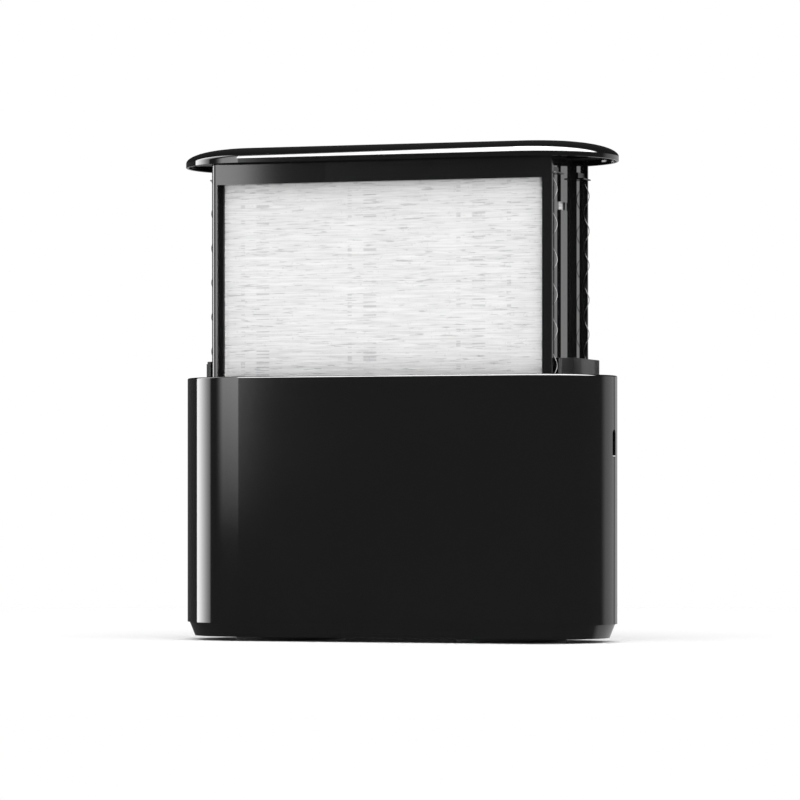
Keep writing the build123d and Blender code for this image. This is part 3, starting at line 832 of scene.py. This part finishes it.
@dataclass
class TowelStack:
    """The block of folded towels, drawn as many thin layers with soft uneven edges."""

    wardrobe: Wardrobe
    layer_pitch: float = 1.45 * MM
    groove: float = 0.30 * MM
    waviness: float = 0.22 * MM
    tilt_share: float = 0.4
    wave_share: float = 0.6
    wave_pace: Pair = (18.0, 60.0)
    across_step: float = 3.0 * MM
    corner: float = 0.6 * MM
    corner_segments: int = 2
    sharp_angle: float = 80.0
    face_distance: float = 0.01 * MM
    corner_distance: float = 1.0 * MM
    least_rise: float = 0.05 * MM
    cut_distance: float = 0.001 * MM
    seed: int = 7

    def build(self) -> None:
        """Model the stack and hide its CAD node."""
        low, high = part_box("towel_stack")
        size = high - low
        centre = (low + high) / 2
        rows = 2 * round(size.z / self.layer_pitch)
        bm = bmesh.new()
        bmesh.ops.create_cube(bm, size=1.0)
        bmesh.ops.scale(bm, vec=size, verts=bm.verts)
        bmesh.ops.translate(bm, vec=centre, verts=bm.verts)
        self._cut(bm, low.z, high.z, rows, 2)
        self._cut(bm, low.x, high.x, round(size.x / self.across_step), 0)
        self._cut(bm, low.y, high.y, round(size.y / self.across_step / 2), 1)
        self._ruffle(bm, centre, size, rows)
        corners = [e for e in bm.edges if self._upright_corner(e, centre, size)]
        bmesh.ops.bevel(
            bm,
            geom=corners,
            offset=self.corner,
            segments=self.corner_segments,
            profile=0.5,
            affect="EDGES",
            material=-1,
        )
        bmesh.ops.recalc_face_normals(bm, faces=bm.faces)
        mesh = mesh_from(bm, "towel_stack_layers")
        smooth(mesh, self.sharp_angle)
        piece = publish("towel_stack_layers", mesh, "carriage", ["towel_stack"])
        self.wardrobe.dress(piece, Finish.PAPER)
        keep = (size.z - joint_travel("pusher_rise")) / size.z
        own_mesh(piece)

    def _ruffle(self, bm: bmesh.types.BMesh, centre: Vector, size: Vector, rows: int) -> None:
        """Draw the sides in, row by row, by a groove between layers and a slow uneven wave.

        Args:
            bm: the cut block.
            centre: the block's middle.
            size: the block's three sides.
            rows: how many half layers the block has.
        """
        random = Random(self.seed)
        low_z = centre.z - size.z / 2
        step = size.z / rows
        tilt = [random.uniform(-1.0, 1.0) for _ in range(rows + 1)]
        phase = [random.uniform(0.0, 2 * math.pi) for _ in range(rows + 1)]
        pace = [random.uniform(*self.wave_pace) for _ in range(rows + 1)]
        near = self.face_distance
        for vert in bm.verts:
            row = round((vert.co.z - low_z) / step)
            sides = [axis for axis in (0, 1) if self._beside(vert, centre, size, axis, near)]
            along = vert.co.x if 1 in sides else vert.co.y
            wave = 0.5 + 0.5 * math.sin(pace[row] * along + phase[row])
            crease = self.groove if row % 2 == 0 else 0.0
            inset = crease + self.waviness * (self.tilt_share * abs(tilt[row]) + self.wave_share * wave)
            for axis in sides:
                vert.co[axis] -= math.copysign(inset, vert.co[axis] - centre[axis])

    def _beside(
        self, vert: bmesh.types.BMVert, centre: Vector, size: Vector, axis: int, distance: float
    ) -> bool:
        """Say whether a point lies within a distance of either side of the block."""
        return abs(abs(vert.co[axis] - centre[axis]) - size[axis] / 2) < distance

    def _upright_corner(self, edge: bmesh.types.BMEdge, centre: Vector, size: Vector) -> bool:
        """Say whether an edge runs up one of the four corners.

        Args:
            edge: the edge to test.
            centre: the block's middle.
            size: the block's three sides.

        Returns:
            True for an upright edge at a corner.
        """
        first, second = edge.verts
        if abs(first.co.z - second.co.z) < self.least_rise:
            return False
        near = self.corner_distance
        return all(self._beside(v, centre, size, axis, near) for v in edge.verts for axis in (0, 1))

    def _cut(self, bm: bmesh.types.BMesh, start: float, end: float, parts: int, axis: int) -> None:
        """Slice the block into equal parts along one axis.

        Args:
            bm: the block.
            start: where the block begins on the axis.
            end: where the block ends on the axis.
            parts: how many parts to make.
            axis: 0, 1 or 2 for X, Y or Z.
        """
        normal = [0.0, 0.0, 0.0]
        normal[axis] = 1.0
        near = self.cut_distance
        for count in range(1, parts):
            place = [0.0, 0.0, 0.0]
            place[axis] = start + (end - start) * count / parts
            geometry = list(bm.verts) + list(bm.edges) + list(bm.faces)
            bmesh.ops.bisect_plane(bm, geom=geometry, plane_co=place, plane_no=normal, dist=near)


@dataclass
class LiftSprings:
    """Four stretched coils between the pusher arms and the hangers."""

    wardrobe: Wardrobe
    wire_radius: float = 0.3 * MM
    turns: float = 6.5
    steps_per_turn: int = 28
    sides: int = 10
    sharp_angle: float = 50.0

    def build(self) -> None:
        """Model each spring and hide its CAD node."""
        for end in ("left", "right"):
            for depth in ("front", "rear"):
                self._coil(f"{end}_{depth}_lift_spring")

    def _coil(self, node: str) -> None:
        """Model one spring as a round wire spun up its axis.

        Args:
            node: the CAD node that the spring stands for.
        """
        low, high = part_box(node)
        centre = (low + high) / 2
        coil_radius = (high.x - low.x) / 2 - self.wire_radius
        length = high.z - low.z
        steps = round(self.turns * self.steps_per_turn)
        climb = math.atan2(length / self.turns, 2 * math.pi * coil_radius)
        bm = bmesh.new()
        made = bmesh.ops.create_circle(bm, cap_ends=True, radius=self.wire_radius, segments=self.sides)
        bmesh.ops.rotate(bm, verts=made["verts"], matrix=Matrix.Rotation(climb - math.pi / 2, 3, "X"))
        bmesh.ops.translate(bm, verts=made["verts"], vec=(centre.x + coil_radius, centre.y, low.z))
        bmesh.ops.spin(
            bm,
            geom=list(bm.verts) + list(bm.edges) + list(bm.faces),
            cent=(centre.x, centre.y, low.z),
            axis=(0.0, 0.0, 1.0),
            dvec=(0.0, 0.0, length / steps),
            angle=2 * math.pi * self.turns,
            steps=steps,
            use_merge=False,
            use_duplicate=False,
        )
        bmesh.ops.recalc_face_normals(bm, faces=bm.faces)
        mesh = mesh_from(bm, f"{node}_wire")
        smooth(mesh, self.sharp_angle)
        piece = publish(f"{node}_wire", mesh, "carriage", [node])
        self.wardrobe.dress(piece, Finish.STEEL)
        keep = (length - joint_travel("pusher_rise")) / length
        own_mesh(piece)


@dataclass
class Surroundings:
    """The light all round: white to the eye, plain to matt surfaces, soft boxes to gloss.

    A turn is an angle in degrees to the left of the way the camera looks, and a climb is one above
    the horizon. The roof's edge is a place in the direction's own X and Y.
    """

    yaw: float
    backdrop: float = 1.0
    ambient: float = 0.95
    side_turn: Span = Span(59.2, 91.5, 0.8, 2.0)
    side_level: Fade = Fade(63.0, 98.0, 9.6, 1.2)
    side_climb: Span = Span(-14.0, 60.0, 4.0, 10.0)
    near_turn: Span = Span(107.6, 140.28, 9.0, 0.75)
    near_start: float = 0.4
    near_slope: float = 2.25
    near_most: float = 5.4
    near_level: Fade = Fade(116.0, 139.0, 0.88, 1.0)
    low_turn: Span = Span(-71.0, 4.0, 8.0, 4.0)
    low_level: Fade = Fade(-45.0, -5.0, 0.74, 0.42)
    low_top: Fade = Fade(5.4, 4.7)
    roof_edge: Pair = (-0.335, -0.13)
    roof_edge_slope: float = 0.08
    roof_side: Fade = Fade(-0.02, 0.02)
    roof_back: Fade = Fade(0.40, 0.26)
    roof_climb: Fade = Fade(8.5, 10.5)
    roof_level: float = 27.0
    fill: Fade = Fade(3.0, 8.0, 0.10, 0.03)

    def _boxes(self, shader: Shader) -> Channel:
        """Work out the soft boxes that the gloss shows, by direction.

        Args:
            shader: the world's node builder.

        Returns:
            Their brightness.
        """
        direction = shader.node("ShaderNodeTexCoord", {}, {}).outputs["Generated"]
        x, y, z = shader.axes(direction)
        degrees = 180.0 / math.pi
        away = 90.0 + math.degrees(self.yaw)
        turn = (y.arctan2(x) * degrees - away).wrap(-180.0, 180.0)
        climb = z.arcsine() * degrees
        side = self.side_turn.at(turn) * self.side_level.at(turn) * self.side_climb.at(climb)
        near = self.near_turn.at(turn)
        rising = ((climb + self.near_start) * self.near_slope).most(0.0).least(self.near_most)
        glow = near * near * rising * self.near_level.at(turn)
        low = self.low_turn.at(turn) * self.low_level.at(turn) * self.low_top.at(climb)
        edge_x, edge_y = self.roof_edge
        lean = x - edge_x - (y - edge_y) * self.roof_edge_slope
        roof = self.roof_side.at(lean) * self.roof_back.at(y) * self.roof_climb.at(climb)
        return (side.most(glow) + low).most(roof * self.roof_level) + self.fill.at(climb)

    def build(self) -> None:
        """Make the world and light the scene with it."""
        world = bpy.data.worlds.new("studio")
        world.use_nodes = True
        bpy.context.scene.world = world
        shader = Shader(world.node_tree)
        path = shader.node("ShaderNodeLightPath", {}, {}).outputs
        seen, plain, boxes = (
            shader.surface("ShaderNodeBackground", {"Color": grey(1.0), "Strength": strength})
            for strength in (self.backdrop, self.ambient, self._boxes(shader))
        )
        lit = shader.mixed(path["Is Glossy Ray"], plain, boxes)
        clear = Channel(shader, path["Is Transmission Ray"])
        straight = Channel(shader, path["Is Camera Ray"]).most(clear)
        shader.show(shader.mixed(straight, lit, seen), "ShaderNodeOutputWorld")


@dataclass
class Studio:
    """The camera, the pale floor, the soft lamp and the surroundings."""

    image_side: float = 800.0
    sensor: float = 36.0
    focal_pixels: float = 4433.35
    yaw: float = math.radians(18.814)
    distance: float = 3.2195
    height: float = 99.4 * MM
    horizon_row: float = 503.5
    centre_column: float = 400.27
    far_clip: float = 50.0
    floor_radius: float = 1.4
    floor_sides: int = 96
    floor_tone: float = 0.93
    floor_fade: Pair = (0.35, 0.85)
    lamp_sides: Pair = (1.8, 1.2)
    lamp_power: float = 11.0
    lamp_reach: float = 0.5
    lamp_height: float = 1.9
    lamp_aim: Triple = (0.0, 0.0, 0.15)

    def build(self) -> None:
        """Set up everything round the object."""
        self._camera()
        self._floor()
        self._lamp()
        Surroundings(self.yaw).build()
        bpy.context.scene.view_settings.view_transform = "Standard"

    def _towards_camera(self, reach: float, height: float) -> Triple:
        """Return the place at a reach and height on the camera's side of the object."""
        return (reach * math.sin(self.yaw), -reach * math.cos(self.yaw), height)

    def _camera(self) -> None:
        """Place the camera level, to the right of the front, with the measured shift."""
        data = bpy.data.cameras.new("camera")
        data.sensor_width = self.sensor
        data.lens = self.focal_pixels / self.image_side * self.sensor
        data.shift_y = (self.horizon_row - self.image_side / 2) / self.image_side
        data.shift_x = -(self.centre_column - self.image_side / 2) / self.image_side
        data.clip_end = self.far_clip
        camera = bpy.data.objects.new("camera", data)
        camera.location = self._towards_camera(self.distance, self.height)
        camera.rotation_euler = (math.pi / 2, 0.0, self.yaw)
        bpy.context.scene.collection.objects.link(camera)
        bpy.context.scene.camera = camera

    def _floor(self) -> None:
        """Lay a pale round floor that fades into the background and stays out of the gloss."""
        bm = bmesh.new()
        bmesh.ops.create_circle(bm, cap_ends=True, radius=self.floor_radius, segments=self.floor_sides)
        mesh = mesh_from(bm, "floor")
        floor = bpy.data.objects.new("floor", mesh)
        bpy.context.scene.collection.objects.link(floor)
        floor.visible_glossy = False
        material, shader = new_material("pale_floor")
        along, deep, _ = shader.axes(shader.object_point())
        begin, finish = ((share * self.floor_radius) ** 2 for share in self.floor_fade)
        fade = (along * along + deep * deep).step(begin, finish)
        pale = shader.surface("ShaderNodeBsdfDiffuse", {"Color": grey(self.floor_tone)})
        clear = shader.surface("ShaderNodeBsdfTransparent", {"Color": grey(1.0)})
        shader.show(shader.mixed(fade, pale, clear))
        mesh.materials.append(material)

    def _lamp(self) -> None:
        """Hang one large soft lamp above and in front, kept out of the gloss."""
        data = bpy.data.lights.new("soft_lamp", "AREA")
        data.shape = "RECTANGLE"
        data.size, data.size_y = self.lamp_sides
        data.energy = self.lamp_power
        lamp = bpy.data.objects.new("soft_lamp", data)
        lamp.location = self._towards_camera(self.lamp_reach, self.lamp_height)
        aim = Vector(self.lamp_aim) - lamp.location
        lamp.rotation_euler = aim.to_track_quat("-Z", "Y").to_euler()
        lamp.visible_glossy = False
        bpy.context.scene.collection.objects.link(lamp)


def save_sizes() -> None:
    """Define a helper that turns a box into two lists of numbers; nothing is written."""

    def plain(bounds: Any) -> list[list[float]]:
        """Return a box as two lists of numbers."""
        return [[float(value) for value in corner] for corner in bounds]


def main() -> None:
    """Build each sub-assembly in order, then the studio."""
    logging.basicConfig(level=logging.INFO, format="%(message)s")
    wardrobe = Wardrobe()
    for assembly in (
        SmoothedSolids(wardrobe),
        PlainSolids(wardrobe),
        LidCover(wardrobe),
        TowelStack(wardrobe),
        LiftSprings(wardrobe),
        Studio(),
    ):
        assembly.build()
        LOG.info("%s done", type(assembly).__name__)
    save_sizes()


if __name__ == "__main__":
    main()
